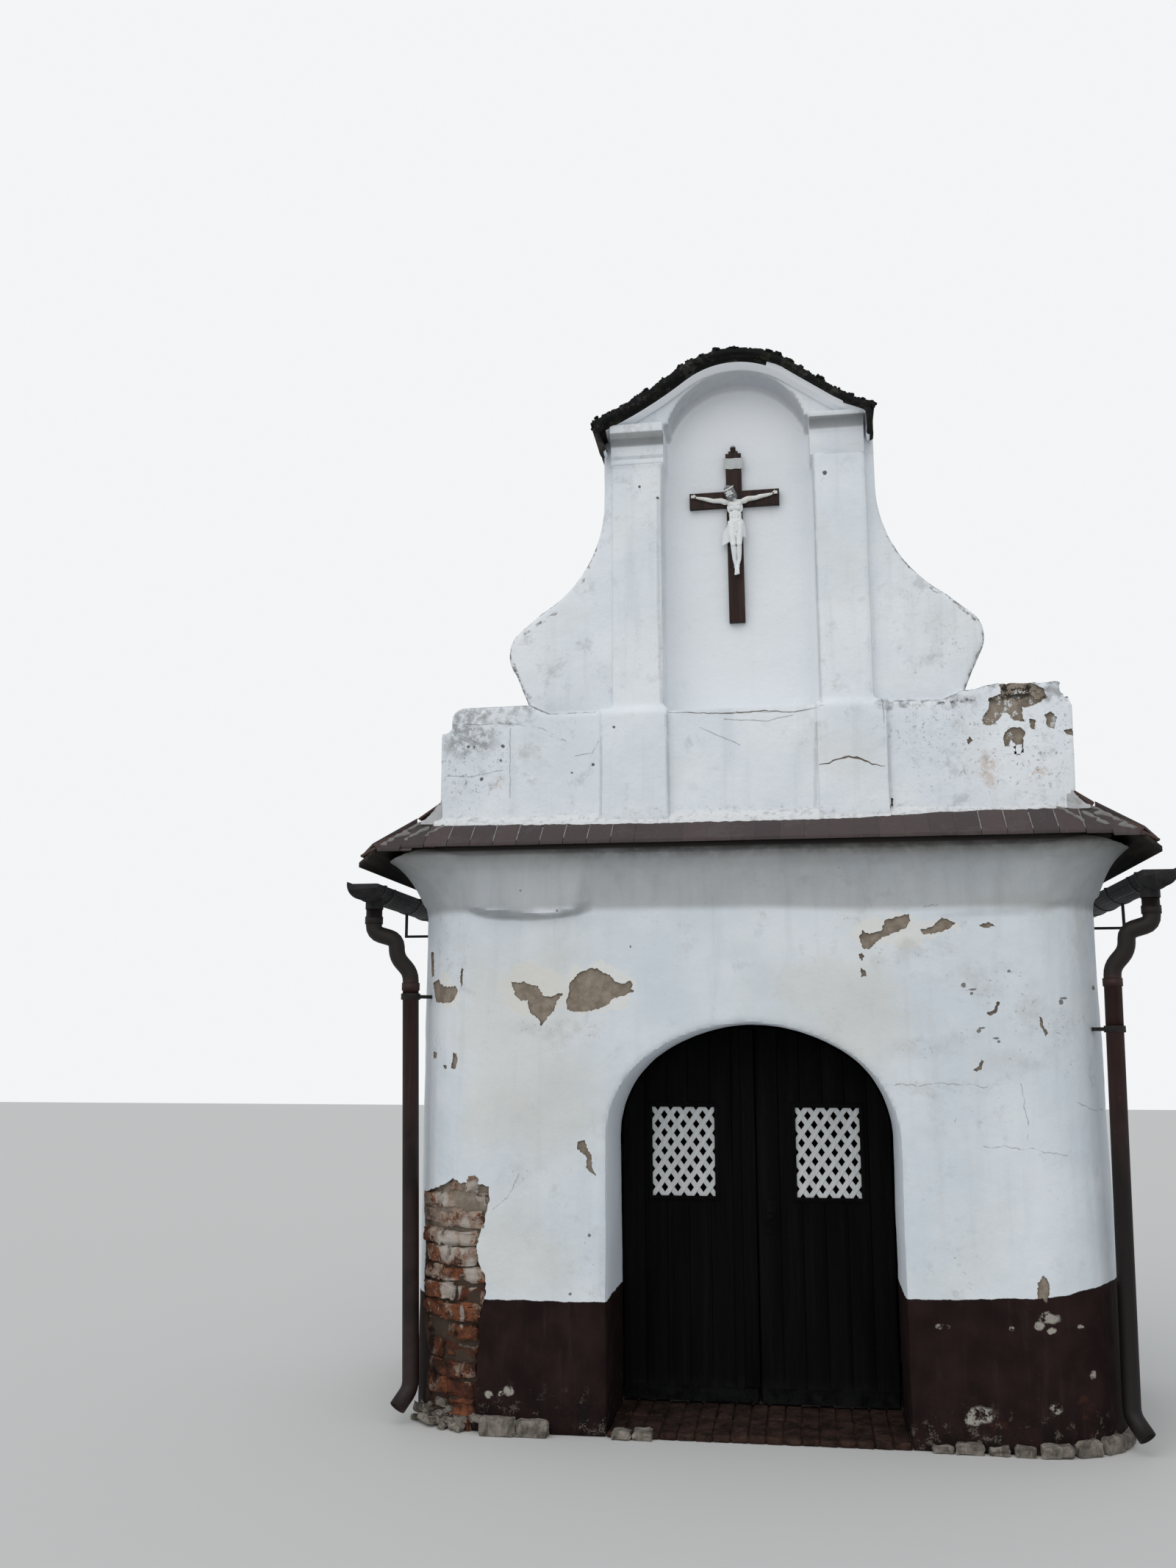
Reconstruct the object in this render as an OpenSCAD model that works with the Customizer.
// Wayside shrine: a small rendered brick chapel with a curved screen gable,
// a pair of arched doors and a tiled roof, built against a party wall.
// Origin: middle of the footprint, at ground level. +X is to the viewer's right
// when facing the doors, +Y runs back to the party wall, +Z is up.

/* [Walls] */
// Half width of the body over the side walls
body_half_w = 1530; // [1330:10:1800]
// Depth of the body from the front face to the party wall
body_depth = 1450; // [1400:10:1900]
// Height of the walls up to the cornice top
wall_h = 2440; // [2200:10:2900]
// Thickness of the front wall
front_wall_t = 550; // [450:10:640]
// Thickness of each side wall
side_wall_t = 380; // [250:10:450]
// Thickness of the back wall
back_wall_t = 220; // [120:10:260]
// Radius of the rounded front corners
corner_r = 400; // [150:10:430]
// Thickness of the floor and the door sill
floor_t = 30; // [20:1:60]

/* [Cornice] */
// Height of the cornice cove
cove_h = 250; // [150:10:300]
// How far the cove stands out at the front
cove_out = 140; // [80:5:170]
// How far the cove stands out at the sides
cove_side_out = 65; // [40:5:80]
// Corner radius at the top of the cove
cove_top_r = 90; // [40:5:140]

/* [Doorway] */
// Half width of the doorway
door_half_w = 622; // [540:2:700]
// Height at which the arch springs
door_spring_z = 1200; // [1000:10:1400]
// Rise of the arch over its springing
door_rise = 497; // [430:1:560]
// Radius of the arch at its haunches
door_haunch_r = 440; // [380:5:480]

/* [Doors] */
// Thickness of a door leaf
leaf_t = 45; // [35:1:60]
// How far a leaf stands proud of the back of the front wall
leaf_proud = 6; // [5:1:10]
// Clearance between a leaf and the masonry round it
leaf_gap = 10; // [7:1:20]
// Clearance between the two leaves
meeting_gap = 12; // [10:1:20]
// How far a hinge pin stands outside the jamb
pin_out = 10; // [5:1:20]
// Distance of the hinge pins behind the leaves
pin_back = 28; // [24:1:40]
// Diameter of a hinge pin
pin_d = 14; // [10:1:20]
// Running clearance round a hinge pin
pin_gap = 1; // [0.5:0.1:2]
// Width of the cover strip at the meeting edge
strip_w = 58; // [40:1:80]
// Thickness of the cover strip
strip_t = 16; // [10:1:22]
// Height of the bottom rail on each leaf
bottom_rail_h = 62; // [40:1:100]
// Width of a lattice window
lattice_w = 297; // [220:1:330]
// Height of a lattice window
lattice_h = 407; // [300:1:460]
// Height of the lattice windows above the ground
lattice_z = 918; // [700:1:1000]
// Distance of a lattice window from the middle of the door
lattice_x = 182; // [120:1:230]
// Width of one lattice slat
slat_w = 26; // [16:1:34]
// Thickness of one lattice slat
slat_t = 5; // [4:1:8]
// Number of lattice openings across a window
lattice_cells = 5; // [3:1:7]
// Width of the bead round a lattice window
bead_w = 17; // [10:1:25]

/* [Gable] */
// Thickness of the screen gable
gable_t = 450; // [380:10:520]
// Set-back of the pedestal course from the side walls
pedestal_in = 138; // [110:1:280]
// Height of the pedestal course top above the cornice
pedestal_h = 665; // [560:5:740]
// Inner edge of the pilasters
pilaster_in = 352; // [300:1:400]
// Outer edge of the pilasters
pilaster_out = 588; // [520:1:620]
// Height of the pilaster shafts
pilaster_h = 1185; // [1000:5:1300]
// Height of the capitals
capital_h = 190; // [120:5:240]
// Depth of the niche
niche_depth = 170; // [100:5:220]
// Radius of the niche arch
niche_r = 335; // [280:1:345]
// Set-back of the volutes behind the pilasters
volute_back = 60; // [30:5:120]
// Half width over the volutes
volute_half_w = 1088; // [900:2:1180]

/* [Hood] */
// Half width of the hood
hood_half_w = 648; // [600:1:700]
// How far the hood stands out in front
hood_out = 100; // [60:5:140]
// Thickness of the hood covering
hood_t = 58; // [30:1:80]
// Height of the hood's end flanges
hood_end_h = 135; // [80:5:180]

/* [Roof] */
// How far the eaves stand out over the side walls
eave_out = 185; // [160:5:230]
// Height of the eaves above the cornice
eave_rise = 0; // [-40:5:60]
// Pitch of the roof
roof_pitch = 41; // [35:1:45]
// Thickness of the roof boards
deck_t = 28; // [20:1:50]
// Thickness of the tile covering
tile_t = 24; // [16:1:32]
// Bedding joint between the masonry and the roof
bed_joint = 1; // [0.5:0.5:5]
// How far the front tile strip stands out
strip_out = 165; // [150:5:200]
// Rise of the front tile strip
strip_rise = 138; // [100:2:160]

/* [Rainwater] */
// Outer radius of the gutters
gutter_r = 72; // [60:1:80]
// Wall of the gutters and pipes
sheet_t = 4; // [3:0.5:6]
// Drop of the gutter rims below the eaves
gutter_drop = 120; // [90:5:190]
// How far the gutters stand out in front of the wall
gutter_out = 110; // [60:5:140]
// Outer diameter of the downpipes
pipe_d = 74; // [60:1:90]

/* [Crucifix] */
// Height of the cross
cross_h = 870; // [600:10:950]
// Width of the cross arms
cross_w = 424; // [300:2:480]
// Width of the cross timbers
cross_bar = 74; // [50:1:90]
// Thickness of the cross
cross_t = 32; // [20:1:40]
// Distance of the arms' middle below the top of the cross
arm_drop = 262; // [200:1:320]

/* [Hidden] */

// The front face of the walls, so that the footprint is centred on the origin
front_y = (strip_out - body_depth) / 2;
back_y = body_depth;
cove_z = wall_h - cove_h;
pedestal_z = wall_h + pedestal_h;
pedestal_half_w = body_half_w - pedestal_in;
capital_z = pedestal_z + pilaster_h;
arch_z = capital_z + capital_h;
niche_z = arch_z - 85;
plinth_step = 30;
leaf_back = front_wall_t + leaf_proud;
leaf_y = leaf_back - leaf_t;
strip_foot = wall_h + 8;
eave_half_w = body_half_w + eave_out;
eave_z = wall_h + eave_rise;
gutter_x = eave_half_w;
gutter_z = eave_z - gutter_drop;
slope = tan(roof_pitch);
strip_tile_t = 24;
hip_lap = 18;
roof_skin = (deck_t + tile_t) / cos(roof_pitch);
white = [0.86, 0.87, 0.88];
maroon = [0.33, 0.2, 0.19];
black = [0.07, 0.07, 0.075];
brown = [0.24, 0.16, 0.14];

// Points on an arc, in degrees, from one angle to the other
function arc(cx, cy, r, a0, a1, n) =
    [for (i = [0:n]) let (a = a0 + (a1 - a0) * i / n) [cx + r * cos(a), cy + r * sin(a)]];

// Mirror image of a list of points, in the other order
function flipped(p) = [for (i = [len(p) - 1:-1:0]) [-p[i][0], p[i][1]]];

// Roof surface height over a distance from the middle, less a depth below the tiles
function roof_top(x) = eave_z + (eave_half_w - abs(x)) * slope;
function roof_under(x) = roof_top(x) - roof_skin;
function roof_seat(x) = roof_under(x) - bed_joint;

// The body's pieces are drawn with the front face at zero
module at_front() {
    translate([0, front_y, 0])
        children();
}

// An upright slab: an outline in the plane of the facade, from y0 to y1
module upright(y0, y1) {
    translate([0, y1, 0])
        rotate([90, 0, 0])
            linear_extrude(height = y1 - y0)
                children();
}

// A length: an outline in the plane across the facade, from x0 to x1
module lengthwise(x0, x1) {
    translate([x0, 0, 0])
        rotate([90, 0, 90])
            linear_extrude(height = x1 - x0)
                children();
}

// Three-centred arch: crown arc radius from span, rise and haunch radius
function crown_r(a, b, r) = (a * a + b * b - 2 * a * r) / (2 * (b - r));
function arch_right(a, z, b, r, n = 14) =
    let (rc = crown_r(a, b, r), split = atan2(rc - b, a - r))
    concat(arc(a - r, z, r, 0, split, n), [for (p = arc(0, z + b - rc, rc, split, 90, n)) if (p[0] > 0.01) p]);

// Half of a doorway outline, from the foot of the jamb to the crown
module doorway(half_w, foot, spring, rise, haunch) {
    right = arch_right(half_w, spring, rise, haunch);
    polygon(concat([[half_w, foot]], right, [[0, spring + rise]], flipped(right), [[-half_w, foot]]));
}

module door_opening() {
    doorway(door_half_w, -10, door_spring_z, door_rise, door_haunch_r);
}

// Plan of the front wall, with its two rounded corners
module front_plan(w = body_half_w, y0 = 0, r = corner_r) {
    polygon(plan_points(w, y0, r));
}

function plan_points(w, y0, r, n = 10) = concat(
    [[-w, front_wall_t]],
    [for (p = arc(-w + r, y0 + r, r, 180, 270, n)) p],
    [for (p = arc(w - r, y0 + r, r, 270, 360, n)) p],
    [[w, front_wall_t]]);

// A pier beside the doorway, up to the arch springing
module front_pier(side) {
    at_front()
        intersection() {
            linear_extrude(height = door_spring_z)
                front_plan();
            translate([side > 0 ? door_half_w : -body_half_w - 10, -10, -10])
                cube([body_half_w - door_half_w + 10, front_wall_t + 20, door_spring_z + 20]);
        }
}

module front_wall_left() {
    color(white)
        front_pier(-1);
}

module front_wall_right() {
    color(white)
        front_pier(1);
}

// The wall over the doorway, with the arch cut through it
module front_wall_arch() {
    color(white)
        at_front()
            difference() {
                translate([0, 0, door_spring_z])
                    linear_extrude(height = cove_z - door_spring_z)
                        front_plan();
                upright(-10, front_wall_t + 10)
                    door_opening();
            }
}

// Side wall with the cove run on along its top, under the eaves
module side_wall(side) {
    out = body_half_w;
    inner = body_half_w - side_wall_t;
    at_front()
        mirror([side < 0 ? 1 : 0, 0, 0])
            translate([0, back_y - back_wall_t, 0])
                rotate([90, 0, 0])
                    linear_extrude(height = back_y - back_wall_t - front_wall_t)
                        polygon(concat(
                            [[inner, 0], [out, 0]],
                            cove_profile(out, cove_side_out),
                            [[out + cove_side_out, min(wall_h, roof_seat(out + cove_side_out))],
                             [inner, roof_seat(inner)]]));
}

// The cove's hollow curve in the plane across a wall
function cove_profile(x, out, n = 8) =
    [for (i = [0:n]) let (t = i / n) [x + out * (1 - cos(90 * t)) , cove_z + cove_h * sin(90 * t)]];

module side_wall_left() {
    color(white)
        side_wall(-1);
}

module side_wall_right() {
    color(white)
        side_wall(1);
}

// The plain party wall, up to the underside of the roof
module back_wall() {
    color(white)
        at_front()
            upright(back_y - back_wall_t, back_y)
                polygon([[-body_half_w, 0], [body_half_w, 0], [body_half_w, roof_seat(body_half_w)],
                         [0, roof_seat(0)], [-body_half_w, roof_seat(body_half_w)]]);
}

module floor_slab() {
    inner = body_half_w - side_wall_t;
    color("dimgray")
        at_front()
            translate([-inner, front_wall_t, 0])
                cube([inner * 2, back_y - back_wall_t - front_wall_t, floor_t]);
}

module door_sill() {
    color("rosybrown")
        at_front()
            translate([-door_half_w, 0, 0])
                cube([door_half_w * 2, front_wall_t, floor_t]);
}

// Rings of points, one over the other, joined into a closed solid
module loft(rings) {
    n = len(rings[0]);
    m = len(rings);
    polyhedron(
        points = [for (ring = rings) each ring],
        faces = concat(
            [[for (i = [0:n - 1]) i]],
            [for (k = [0:m - 2], i = [0:n - 1]) let (j = (i + 1) % n)
                [k * n + i, (k + 1) * n + i, (k + 1) * n + j, k * n + j]],
            [[for (i = [n - 1:-1:0]) (m - 1) * n + i]]));
}

// Underside of the front tiles over a distance from the wall face
function strip_under(y) = strip_foot + (y + strip_out) * strip_rise / strip_out;

// The hip in plan, where the side slope laps over the front tiles
function hip_x(y) = eave_half_w - (strip_under(y) + strip_tile_t + hip_lap - eave_z) / slope;

// Everything between the two hips, from a line in front of the strip back to the wall face
module between_hips() {
    front = -strip_out - 20;
    translate([0, 0, wall_h - 300])
        linear_extrude(height = 3000)
            polygon([[-hip_x(front), front], [hip_x(front), front], [hip_x(0), 0], [-hip_x(0), 0]]);
}

// The hollow cornice that swells forward to carry the front tiles
module cornice_cove() {
    steps = 8;
    color(white)
        at_front()
            loft([for (k = [0:steps])
                let (t = k / steps,
                     grow = 1 - cos(90 * t),
                     z = cove_z + cove_h * sin(90 * t),
                     plan = plan_points(body_half_w + cove_side_out * grow, -cove_out * grow,
                                        corner_r + (cove_top_r - corner_r) * grow))
                [for (p = plan) [p[0], p[1], z]]]);
}

// Mortar bed under the front tiles, and the raking shoulders beside the gable
module tile_bed() {
    bed_y = -cove_out + 10;
    color(white)
        at_front()
            union() {
                intersection() {
                    lengthwise(-body_half_w, body_half_w)
                        polygon([[bed_y, wall_h], [0, wall_h], [0, strip_under(0)], [bed_y, strip_under(bed_y)]]);
                    between_hips();
                }
                for (s = [0, 1])
                    mirror([s, 0, 0])
                        upright(0, front_wall_t)
                            polygon([[pedestal_half_w, wall_h], [body_half_w, wall_h],
                                     [body_half_w, roof_seat(body_half_w)],
                                     [pedestal_half_w, roof_seat(pedestal_half_w)]]);
            }
}

// Strip of plain tiles at the foot of the gable, hipped at both ends
module front_tiles() {
    color(maroon)
        at_front()
            intersection() {
                lengthwise(-eave_half_w, eave_half_w)
                    polygon([[-strip_out, strip_foot], [0, strip_under(0)], [0, strip_under(0) + strip_tile_t],
                             [-strip_out, strip_foot + strip_tile_t]]);
                between_hips();
            }
}

// An end block of the pedestal course, with its lower outer strip
module end_pedestal(side, strip_top, round_r) {
    top = pedestal_z + 45;
    block = pedestal_half_w - 47;
    mirror([side < 0 ? 1 : 0, 0, 0])
        at_front()
            upright(0, gable_t)
                polygon(concat(
                    [[pilaster_out + 50, wall_h], [pedestal_half_w, wall_h],
                     [pedestal_half_w, strip_top], [block, strip_top + 12]],
                    arc(block - round_r, top - round_r, round_r, 0, 90, 6),
                    [[pilaster_out + 390, top], [pilaster_out + 300, pedestal_z],
                     [pilaster_out + 50, pedestal_z]]));
}

module end_pedestal_left() {
    color(white)
        end_pedestal(-1, pedestal_z - 80, 60);
}

module end_pedestal_right() {
    color(white)
        end_pedestal(1, pedestal_z - 34, 12);
}

module pilaster_pedestal(side) {
    x0 = pilaster_in - 18;
    x1 = pilaster_out + 50;
    mirror([side < 0 ? 1 : 0, 0, 0])
        at_front()
            union() {
                translate([x0, 0, wall_h])
                    cube([x1 - x0, gable_t, pedestal_h]);
                lengthwise(x0, x1)
                    polygon([[1, strip_under(0) + 30], [0, strip_under(0) + 24],
                             [-plinth_step, strip_under(-plinth_step) + 24],
                             [-plinth_step, pedestal_z - 12], [0, pedestal_z + 20],
                             [0, pedestal_z], [1, pedestal_z - 1]]);
            }
}

module pilaster_pedestal_left() {
    color(white)
        pilaster_pedestal(-1);
}

module pilaster_pedestal_right() {
    color(white)
        pilaster_pedestal(1);
}

module apron_panel() {
    w = pilaster_in - 18;
    color(white)
        at_front()
            translate([-w, 8, wall_h])
                cube([w * 2, gable_t - 8, pedestal_h]);
}

// Underside of the hood: a crown arc that flares out to both ends
hood_crown_r = 400;
hood_crown_a = 37;
hood_end_a = 23;
hood_crown_z = arch_z + 275;
hood_turn_x = hood_crown_r * sin(hood_crown_a);
hood_turn_z = hood_crown_z - hood_crown_r * (1 - cos(hood_crown_a));
hood_flare_r = (hood_half_w - hood_turn_x) / (sin(hood_crown_a) - sin(hood_end_a));
function hood_right(lift, n = 8) = concat(
    arc(0, hood_crown_z - hood_crown_r, hood_crown_r + lift, 90, 90 - hood_crown_a, n),
    [for (p = arc(hood_turn_x + hood_flare_r * sin(hood_crown_a),
                  hood_turn_z + hood_flare_r * cos(hood_crown_a), hood_flare_r - lift,
                  270 - hood_crown_a, 270 - hood_end_a, n)) if (p[0] > hood_turn_x + lift) p]);
function hood_full(lift) = concat(flipped(hood_right(lift)), hood_right(lift));

// The space under the hood, between a level and the hood's underside
module below_hood(half_w, z0) {
    end = hood_right(0)[len(hood_right(0)) - 1];
    intersection() {
        polygon(concat(hood_full(0), [[volute_half_w + 100, end[1]], [volute_half_w + 100, z0],
                                      [-volute_half_w - 100, z0], [-volute_half_w - 100, end[1]]]));
        translate([-half_w, z0])
            square([half_w * 2, 3000]);
    }
}

// The wall at the back of the niche
module niche_wall() {
    color(white)
        at_front()
            upright(niche_depth, gable_t)
                below_hood(pilaster_out, pedestal_z);
}

// The masonry over the capitals, round the niche arch
module niche_arch() {
    color(white)
        at_front()
            upright(0, niche_depth)
                difference() {
                    below_hood(pilaster_out, arch_z);
                    translate([0, niche_z])
                        circle(r = niche_r, $fn = 96);
                }
}

module pilaster(side) {
    mirror([side < 0 ? 1 : 0, 0, 0])
        at_front()
            translate([pilaster_in, 0, pedestal_z])
                cube([pilaster_out - pilaster_in, niche_depth, pilaster_h]);
}

module pilaster_left() {
    color(white)
        pilaster(-1);
}

module pilaster_right() {
    color(white)
        pilaster(1);
}

// A capital's moulding, cut to the hood over it
module capital() {
    at_front()
        intersection() {
            lengthwise(niche_r + 5, pilaster_out)
                children();
            upright(-hood_out, niche_depth)
                translate([0, -bed_joint])
                    below_hood(pilaster_out + 10, capital_z - 100);
        }
}

// Moulded capital: fillets, a cove and a fascia
module capital_left() {
    color(white)
        mirror([1, 0, 0])
            capital()
                polygon(concat(
                    [[niche_depth, capital_z], [0, capital_z], [-10, capital_z + 8], [-10, capital_z + 26],
                     [-4, capital_z + 32], [-18, capital_z + 44], [-18, capital_z + 60]],
                    [for (p = arc(-66, capital_z + 66, 48, 0, 80, 6)) p],
                    [[-62, capital_z + 150], [-62, arch_z - 8], [-52, arch_z], [niche_depth, arch_z]]));
}

// The other capital has lost its mouldings to thick coats of plaster
module capital_right() {
    color(white)
        capital()
            polygon(concat(
                [[niche_depth, capital_z], [0, capital_z]],
                [for (p = arc(-60, capital_z + 96, 60, 0, 78, 6)) p],
                [[-60, arch_z - 6], [-50, arch_z], [niche_depth, arch_z]]));
}

// A wing of the gable: a bulge at the foot and a long hollow curve over it
module volute(side) {
    bulge_r = 145;
    bulge_x = volute_half_w - bulge_r;
    bulge_z = pedestal_z + 305;
    hollow_r = 640;
    hollow_x = pilaster_out + 45 + hollow_r;
    hollow_z = pedestal_z + 1045;
    mirror([side < 0 ? 1 : 0, 0, 0])
        at_front()
            upright(volute_back, gable_t)
                intersection() {
                    below_hood(volute_half_w + 10, pedestal_z);
                    polygon(concat(
                        [[pilaster_out, pedestal_z], [pilaster_out + 300, pedestal_z],
                         [pilaster_out + 390, pedestal_z + 45], [bulge_x + 50, pedestal_z + 60]],
                        arc(bulge_x, bulge_z, bulge_r, -40, 57, 12),
                        arc(hollow_x, hollow_z, hollow_r, 237, 180, 14),
                        [[pilaster_out + 45, hood_crown_z], [pilaster_out, hood_crown_z]]));
                }
}

module volute_left() {
    color(white)
        volute(-1);
}

module volute_right() {
    color(white)
        volute(1);
}

// Tile covering over the gable, turned down at both ends
module hood_tiles() {
    under = hood_full(0);
    over = hood_full(hood_t);
    end_z = hood_right(0)[len(hood_right(0)) - 1][1];
    color(black)
        at_front()
            upright(-hood_out, gable_t)
                union() {
                    polygon(concat(under, [for (i = [len(over) - 1:-1:0]) over[i]]));
                    for (s = [-1, 1])
                        translate([s * (hood_half_w + 4) - 14, end_z - hood_end_h + 20])
                            square([28, hood_end_h]);
                }
}

// Cross, standing a little off plumb on the back of the niche
cross_z = pedestal_z + 432;
cross_lean = -1.5;
arm_z = cross_h - arm_drop;
module on_niche() {
    at_front()
        translate([0, niche_depth, cross_z])
            rotate([0, cross_lean, 0])
                children();
}

module cross() {
    knob_r = 13;
    color(brown)
        on_niche()
            union() {
                translate([-cross_bar / 2, -cross_t, 0])
                    cube([cross_bar, cross_t, cross_h - 2 * knob_r - 8]);
                translate([-cross_bar * 0.3, -cross_t, 0])
                    cube([cross_bar * 0.6, cross_t, cross_h - 2 * knob_r + 4]);
                translate([-cross_w / 2, -cross_t, arm_z - cross_bar / 2])
                    cube([cross_w, cross_t, cross_bar]);
                translate([0, 0, cross_h - knob_r])
                    rotate([90, 0, 0])
                        cylinder(r = knob_r, h = cross_t);
            }
}

// A rounded stretch of the figure through points with a radius each
module limb(points) {
    hull()
        for (p = points)
            translate([p[0], p[1], p[2]])
                sphere(r = p[3], $fn = 14);
}

// The figure: depths are in front of the cross, heights from the middle of the arms
module figure() {
    reach = cross_w / 2 - 16;
    limb([[-8, -24, 20, 26], [-16, -32, 0, 17]]);
    limb([[-10, -18, 22, 27], [-28, -12, -8, 10]]);
    limb([[-10, -18, 22, 27], [10, -14, -8, 10]]);
    limb([[-4, -16, -4, 14], [2, -12, -16, 17]]);
    limb([[-20, -12, -36, 28], [26, -12, -34, 28], [8, -10, -66, 26]]);
    limb([[8, -10, -66, 26], [5, -10, -100, 27]]);
    limb([[-16, -8, -126, 24], [24, -8, -126, 24], [5, -10, -100, 29]]);
    for (s = [-1, 1]) {
        limb([[3 + s * 44, -8, -20, 15], [3 + s * (reach * 0.55), -6, -11, 11]]);
        limb([[3 + s * (reach * 0.55), -6, -11, 11], [s * (reach - 24), -3, 12, 8]]);
        limb([[s * (reach - 26), -3, 12, 8], [s * (reach - 4), -3, 20, 6]]);
    }
    limb([[-18, -12, -130, 23], [-8, -34, -240, 17]]);
    limb([[24, -12, -130, 23], [20, -32, -238, 17]]);
    limb([[-8, -34, -240, 17], [0, -8, -344, 11]]);
    limb([[20, -32, -238, 17], [8, -14, -342, 11]]);
    limb([[2, -10, -348, 11], [6, -22, -384, 9]]);
    limb([[-20, -10, -100, 26], [28, -10, -100, 26], [-34, -14, -208, 22], [26, -16, -208, 19]]);
    limb([[-40, -10, -120, 14], [-58, 0, -232, 7]]);
    limb([[36, -22, -124, 14], [42, -20, -196, 8]]);
}

// The figure lies flat against the cross
module corpus() {
    color(white)
        on_niche()
            intersection() {
                translate([0, -cross_t, arm_z])
                    figure();
                translate([-cross_w, -cross_t - 200, 0])
                    cube([cross_w * 2, 200, cross_h]);
            }
}

module title_plate() {
    color("white")
        on_niche()
            translate([-44, -cross_t - 5, cross_h - 115])
                cube([88, 5, 56]);
}

// One slope of the roof, as a slab a given depth below the tile surface
module roof_slab(side, over, under) {
    drop = 1 / cos(roof_pitch);
    mirror([side < 0 ? 1 : 0, 0, 0])
        at_front()
            difference() {
                upright(-strip_out, back_y)
                    polygon([[0.5, roof_top(0.5) - under * drop], [eave_half_w, eave_z - under * drop],
                             [eave_half_w, eave_z - over * drop], [0.5, roof_top(0.5) - over * drop]]);
                translate([-10, -10, wall_h - 200])
                    cube([pedestal_half_w + 10, gable_t + 10, 2500]);
                between_hips();
            }
}

module roof_deck_left() {
    color(black)
        roof_slab(-1, tile_t, tile_t + deck_t);
}

module roof_deck_right() {
    color(black)
        roof_slab(1, tile_t, tile_t + deck_t);
}

module roof_tiles_left() {
    color(maroon)
        roof_slab(-1, 0, tile_t);
}

module roof_tiles_right() {
    color(maroon)
        roof_slab(1, 0, tile_t);
}

module ridge_tiles() {
    z = roof_top(0);
    color(maroon)
        at_front()
            upright(gable_t, back_y)
                polygon([[-110, z - 110 * slope + 26], [0, z + 30], [110, z - 110 * slope + 26],
                         [110, z - 110 * slope], [0, z], [-110, z - 110 * slope]]);
}

module half_disc(r) {
    difference() {
        circle(r = r, $fn = 48);
        translate([-r - 1, 0])
            square([r * 2 + 2, r + 1]);
    }
}

// Half-round gutter with closed ends
module gutter(side) {
    mirror([side < 0 ? 1 : 0, 0, 0])
        at_front()
            difference() {
                upright(-gutter_out, back_y)
                    translate([gutter_x, gutter_z])
                        half_disc(gutter_r);
                upright(-gutter_out + sheet_t, back_y - sheet_t)
                    translate([gutter_x, gutter_z])
                        circle(r = gutter_r - sheet_t, $fn = 48);
            }
}

module gutter_left() {
    color(black)
        gutter(-1);
}

module gutter_right() {
    color(black)
        gutter(1);
}

// Pipe from the gutter outlet through two bends to the foot of the wall
outlet_y = 45;
outlet_in = 12;
seat_gap = 0.5;
pipe_y = 110;
function unit(v) = v / norm(v);
module sweep(path, r, sides = 16) {
    n = len(path);
    loft([for (i = [0:n - 1])
        let (a = path[max(i - 1, 0)], b = path[min(i + 1, n - 1)],
             t = unit(b - a), u = unit(cross(t, [0, 1, 0])), v = cross(t, u))
        [for (k = [0:sides - 1]) path[i] + r * (cos(360 * k / sides) * u + sin(360 * k / sides) * v)]]);
}

// A path of straight lines with its corners rounded off over a set-back
function rounded(c, back, n = 4) = [for (i = [0:len(c) - 1])
    each (i == 0 || i == len(c) - 1) ? [c[i]] :
        [for (k = [0:n]) let (t = k / n)
            c[i] + back * (pow(1 - t, 2) * unit(c[i - 1] - c[i]) + t * t * unit(c[i + 1] - c[i]))]];

pipe_top = [body_half_w + 12, pipe_y, gutter_z - 390];
pipe_foot = [body_half_w - 32, pipe_y, 140];
pipe_corners = [
    [gutter_x - outlet_in, outlet_y, gutter_z - gutter_r - seat_gap],
    [gutter_x - outlet_in, outlet_y, gutter_z - 210],
    [body_half_w + 72, outlet_y + 28, gutter_z - 240],
    [body_half_w + 70, outlet_y + 36, gutter_z - 320],
    pipe_top,
    pipe_foot,
    [body_half_w + 10, pipe_y - 56, 70]];
pipe_path = rounded(pipe_corners, 34);
function pipe_x(z) = pipe_foot[0] + (pipe_top[0] - pipe_foot[0]) * (z - pipe_foot[2]) / (pipe_top[2] - pipe_foot[2]);

// A pipe with a socket over its upper straight and one over the long straight
module downpipe(side) {
    socket_h = 34;
    upper_z = gutter_z - 170;
    lower_z = pipe_top[2] - 80;
    mirror([side < 0 ? 1 : 0, 0, 0])
        at_front()
            difference() {
                union() {
                    sweep(pipe_path, pipe_d / 2);
                    translate([gutter_x - outlet_in, outlet_y, upper_z])
                        cylinder(r = pipe_d / 2 + 4, h = socket_h, $fn = 48);
                    translate([pipe_x(lower_z), pipe_y, lower_z])
                        cylinder(r = pipe_d / 2 + 4, h = socket_h, $fn = 48);
                }
                sweep(lengthened(pipe_path), pipe_d / 2 - sheet_t);
            }
}

// The same path, run on a little at both ends
function lengthened(p) = let (n = len(p)) concat(
    [p[0] - unit(p[1] - p[0])], [for (i = [1:n - 2]) p[i]], [p[n - 1] + unit(p[n - 1] - p[n - 2])]);

module downpipe_left() {
    color(brown)
        downpipe(-1);
}

module downpipe_right() {
    color(brown)
        downpipe(1);
}

// Iron stays from the side walls up to the gutters
module gutter_stays() {
    bar = 12;
    foot_z = gutter_z - 190;
    color(black)
        for (s = [0, 1])
            mirror([s, 0, 0])
                at_front()
                    translate([0, front_wall_t + 60, 0])
                        union() {
                            translate([body_half_w, 0, foot_z])
                                cube([gutter_x - body_half_w + bar / 2, bar, bar]);
                            translate([gutter_x - bar / 2, 0, foot_z])
                                cube([bar, bar, gutter_z - gutter_r - foot_z]);
                        }
}

// Heights of the clips on the right and the left pipe
clip_z = [pipe_top[2] - 273, pipe_top[2] - 122];

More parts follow.
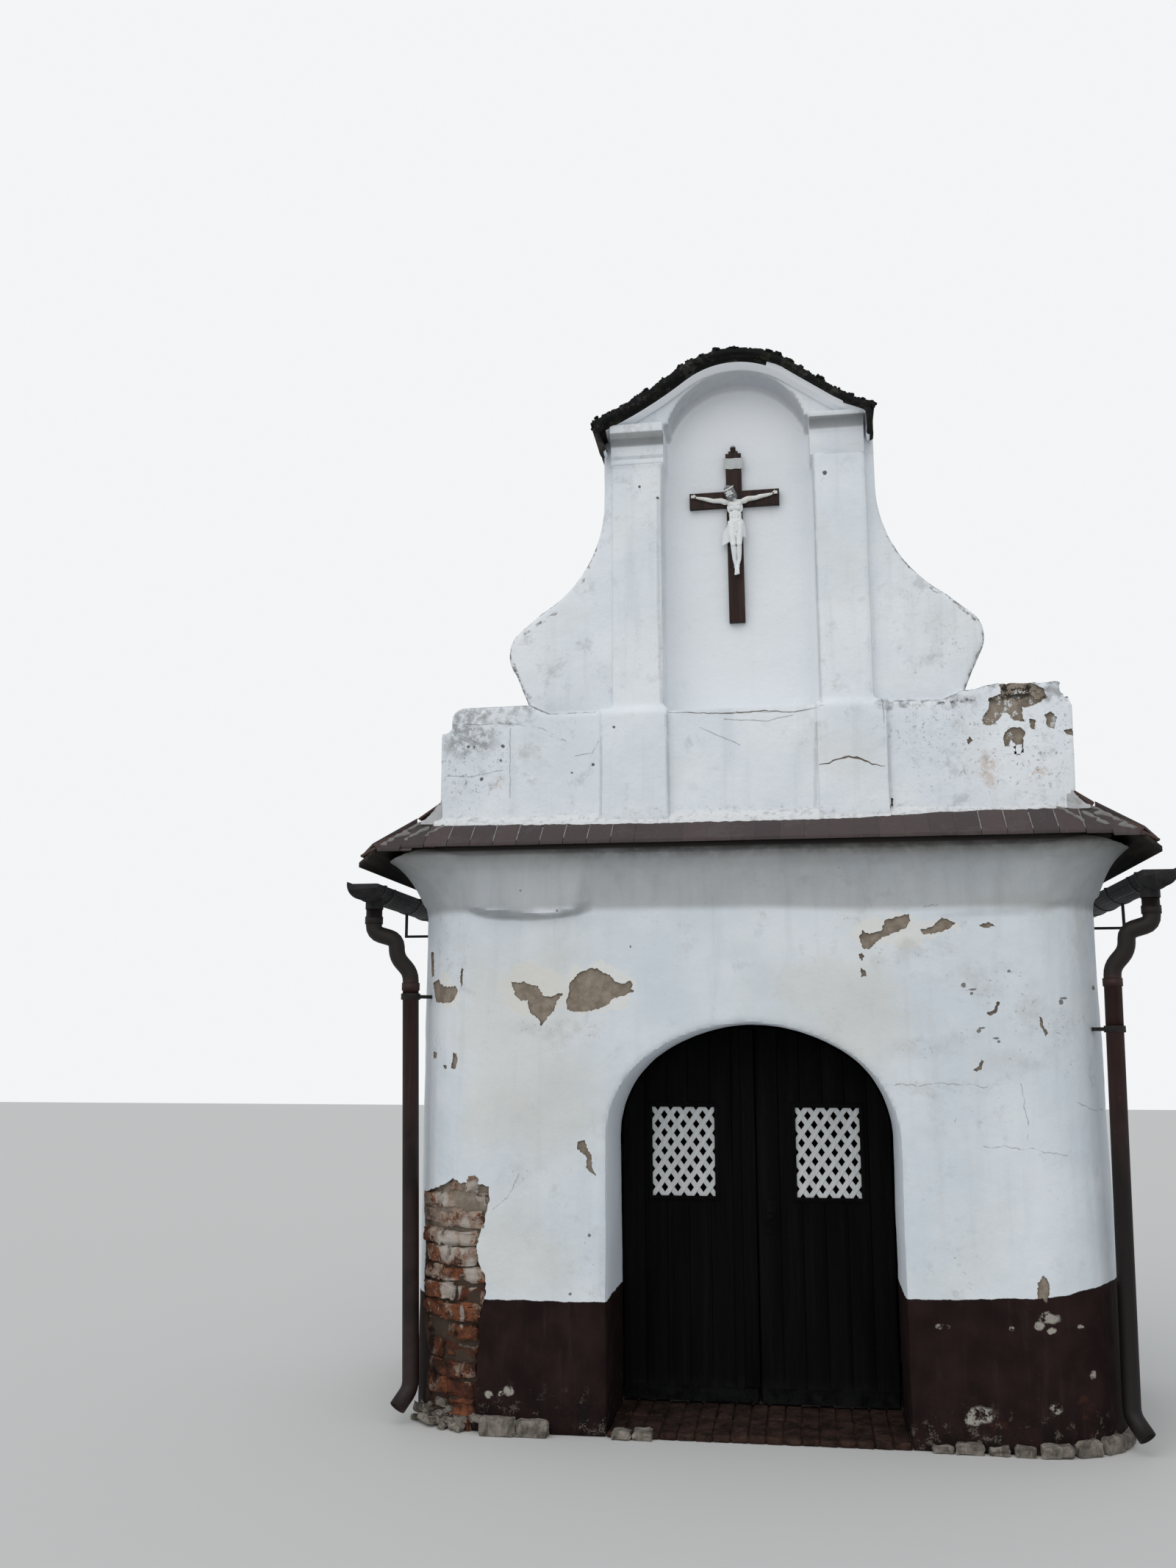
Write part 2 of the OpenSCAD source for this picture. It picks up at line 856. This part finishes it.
// Ring round each downpipe, on a stalk from the rounded corner of the wall
module pipe_clips() {
    color(black)
        for (s = [0, 1])
            mirror([s, 0, 0])
                at_front()
                    translate([pipe_x(clip_z[s] + 14), pipe_y, clip_z[s]]) {
                        away = [pipe_x(clip_z[s]) - (body_half_w - corner_r), pipe_y - corner_r];
                        difference() {
                            union() {
                                cylinder(r = pipe_d / 2 + 7, h = 28, $fn = 48);
                                rotate([0, 0, atan2(-away[1], -away[0])])
                                    translate([pipe_d / 2 + 2, -8, 6])
                                        cube([norm(away) - corner_r - pipe_d / 2 - 2, 16, 16]);
                            }
                            translate([0, 0, -1])
                                cylinder(r = pipe_d / 2 + 1, h = 30, $fn = 48);
                        }
                    }
}

// Hinge pins stand on plates on the back of the front wall
pin_x = door_half_w + pin_out;
pin_y = front_wall_t + pin_back;
hinge_levels = [floor_t + 260, door_spring_z - 60];
module door_pintles() {
    color(black)
        at_front()
            for (s = [-1, 1], z = hinge_levels)
                translate([s * pin_x, front_wall_t, z])
                    union() {
                        translate([0, pin_back, -12])
                            cylinder(d = pin_d, h = 72, $fn = 32);
                        translate([-12, 0, -14])
                            cube([24, pin_back + 12, 14]);
                        translate([-12, 0, -70])
                            cube([24, 6, 57]);
                    }
}

// A leaf follows the doorway's outline, inside its clearance
module leaf_outline() {
    intersection() {
        doorway(door_half_w - leaf_gap, floor_t + 8, door_spring_z, door_rise - leaf_gap,
                door_haunch_r - leaf_gap);
        translate([meeting_gap / 2, 0])
            square([door_half_w, door_spring_z + door_rise]);
    }
}

// How far the bead round a window laps over the lattice and its rebate
bead_in = 4;

// A plank leaf with a window opening, a bottom rail and two strap hinges
module door_leaf(side) {
    mirror([side < 0 ? 1 : 0, 0, 0])
        at_front()
            union() {
                difference() {
                    upright(leaf_y, leaf_back)
                        leaf_outline();
                    translate([lattice_x, leaf_y - 1, lattice_z])
                        cube([lattice_w, leaf_t + 2, lattice_h]);
                }
                upright(leaf_y - 6, leaf_y + bead_in)
                    intersection() {
                        leaf_outline();
                        difference() {
                            translate([lattice_x - bead_w, lattice_z - bead_w])
                                square([lattice_w + 2 * bead_w, lattice_h + 2 * bead_w]);
                            translate([lattice_x + bead_in, lattice_z + bead_in])
                                square([lattice_w - 2 * bead_in, lattice_h - 2 * bead_in]);
                        }
                    }
                translate([meeting_gap / 2 + 6, leaf_y - 10, floor_t + 8])
                    cube([door_half_w - leaf_gap - meeting_gap / 2 - 12, 11, bottom_rail_h]);
                for (z = hinge_levels)
                    translate([pin_x, 0, z + 6])
                        difference() {
                            union() {
                                translate([-380, leaf_back - 1, 0])
                                    cube([374, 8, 44]);
                                translate([-pin_d / 2 - 7, leaf_back - 1, 0])
                                    cube([pin_d / 2 + 7, front_wall_t + pin_back - leaf_back + 1, 44]);
                                translate([0, pin_y, 0])
                                    cylinder(d = pin_d + 14, h = 44, $fn = 32);
                            }
                            translate([0, pin_y, -1])
                                cylinder(d = pin_d + 2 * pin_gap, h = 46, $fn = 32);
                        }
            }
}

module door_leaf_left() {
    color(black)
        door_leaf(-1);
}

module door_leaf_right() {
    color(black)
        door_leaf(1);
}

// Diagonal slats across a window, behind its bead
module door_lattice(side) {
    pitch_x = lattice_w / lattice_cells;
    pitch_z = lattice_h / lattice_cells;
    lean = atan2(pitch_z, pitch_x);
    reach = lattice_w + lattice_h;
    mirror([side < 0 ? 1 : 0, 0, 0])
        at_front()
            upright(leaf_y + bead_in, leaf_y + bead_in + slat_t)
                translate([lattice_x, lattice_z])
                    intersection() {
                        square([lattice_w, lattice_h]);
                        union()
                            for (i = [-lattice_cells:lattice_cells * 2], s = [-1, 1])
                                translate([i * pitch_x, s > 0 ? 0 : lattice_h])
                                    rotate(s * lean)
                                        translate([-slat_w, -slat_w / 2])
                                            square([reach, slat_w]);
                    }
}

module door_lattice_left() {
    color("white")
        door_lattice(-1);
}

module door_lattice_right() {
    color("white")
        door_lattice(1);
}

// Strip on the left leaf that covers the edge where the leaves meet
module door_cover_strip() {
    top = door_spring_z + door_rise - leaf_gap - 12;
    color(black)
        at_front()
            translate([-meeting_gap / 2 - strip_w, leaf_y - strip_t, floor_t + 8 + bottom_rail_h + 4])
                cube([strip_w, strip_t, top - floor_t - 8 - bottom_rail_h - 4]);
}

module door_lock() {
    color(black)
        at_front()
            union() {
                translate([40, leaf_y - 5, 760])
                    cube([46, 5, 150]);
                translate([63, leaf_y - 5, 840])
                    rotate([90, 0, 0])
                        cylinder(d = 30, h = 35, $fn = 32);
            }
}

front_wall_left();
front_wall_right();
front_wall_arch();
side_wall_left();
side_wall_right();
back_wall();
floor_slab();
door_sill();
cornice_cove();
tile_bed();
end_pedestal_left();
end_pedestal_right();
pilaster_pedestal_left();
pilaster_pedestal_right();
apron_panel();
niche_wall();
niche_arch();
pilaster_left();
pilaster_right();
capital_left();
capital_right();
volute_left();
volute_right();
hood_tiles();
cross();
corpus();
title_plate();
front_tiles();
roof_deck_left();
roof_deck_right();
roof_tiles_left();
roof_tiles_right();
ridge_tiles();
gutter_left();
gutter_right();
gutter_stays();
downpipe_left();
downpipe_right();
pipe_clips();
door_pintles();
door_leaf_left();
door_leaf_right();
door_lattice_left();
door_lattice_right();
door_cover_strip();
door_lock();
